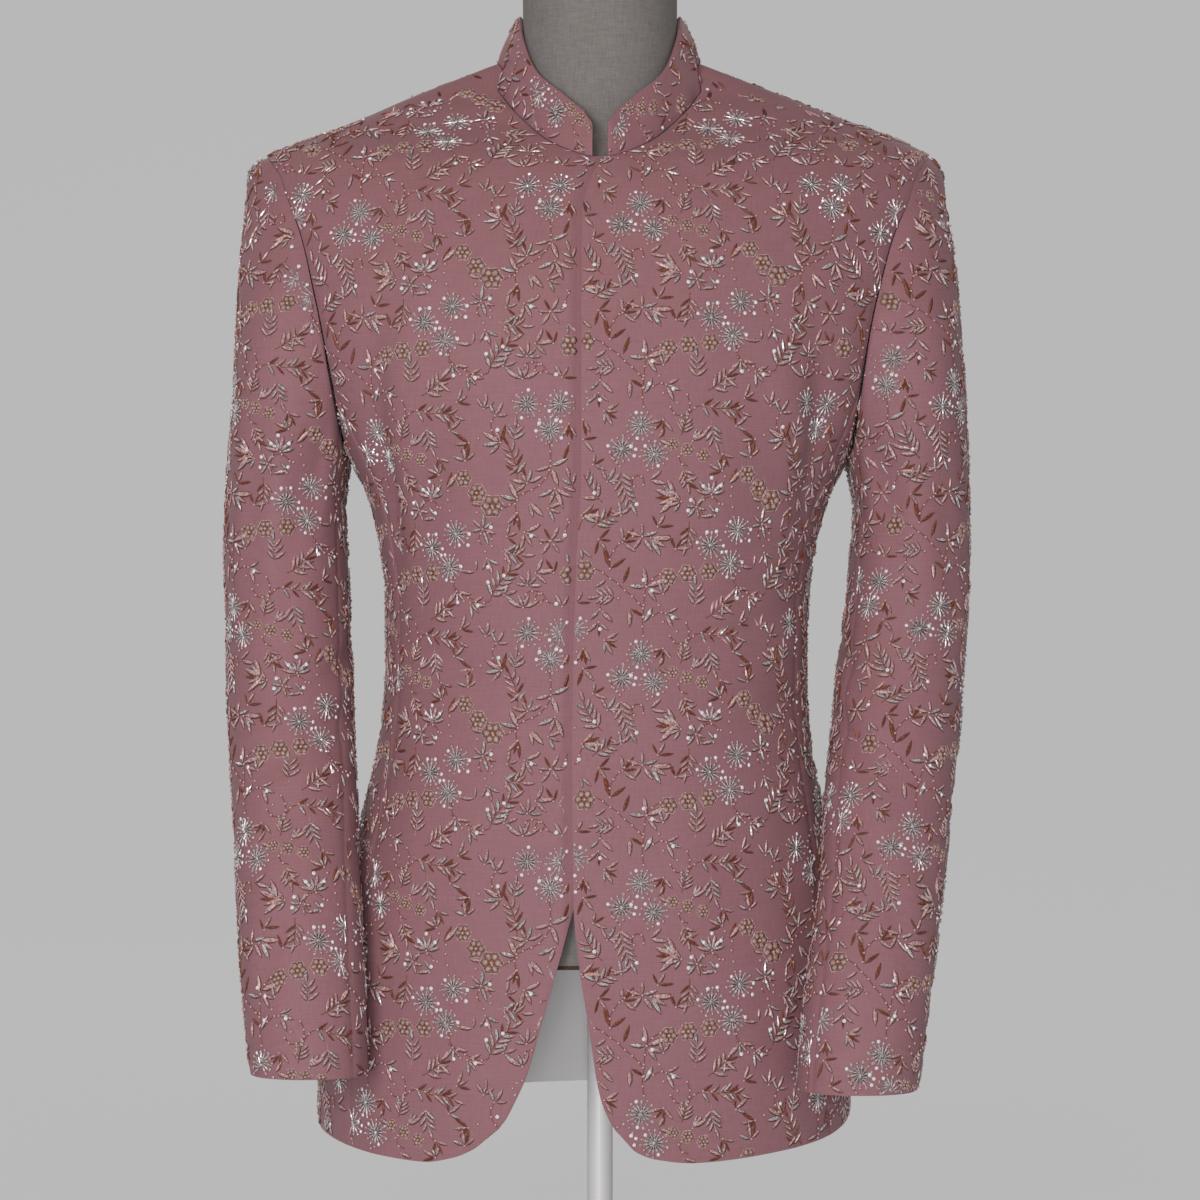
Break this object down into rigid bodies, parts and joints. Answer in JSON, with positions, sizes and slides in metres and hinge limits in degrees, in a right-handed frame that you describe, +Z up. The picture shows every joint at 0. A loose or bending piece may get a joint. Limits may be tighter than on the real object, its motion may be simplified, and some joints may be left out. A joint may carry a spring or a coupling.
{
  "type": "bandhgala jacket on a limbless dress form",
  "caption": "Closed-neck embroidered bandhgala jacket with stand collar, concealed front placket and cutaway hem, worn on a headless linen dress form with a short pole and round base.",
  "frame": {"origin": "middle of the base's underside, on the axis of the pole", "axes": "+Z up along the pole, -Y out of the jacket's front, +X to the wearer's left"},
  "size_m": [0.5545, 0.32, 1.018],
  "materials": {
    "embroidered_silk": "soft silk sheen, embroidered",
    "form_linen": "matt linen weave",
    "stand_metal": "satin"
  },
  "bodies": {
    "root": {"front_left": "embroidered_silk", "front_right": "embroidered_silk", "side_left": "embroidered_silk", "side_right": "embroidered_silk", "back_left": "embroidered_silk", "back_right": "embroidered_silk", "sleeve_top_left": "embroidered_silk", "sleeve_top_right": "embroidered_silk", "sleeve_under_left": "embroidered_silk", "sleeve_under_right": "embroidered_silk", "collar_left": "embroidered_silk", "collar_right": "embroidered_silk", "form_torso": "form_linen", "stand_pole": "stand_metal", "stand_base": "stand_metal"}
  },
  "joints": []
}
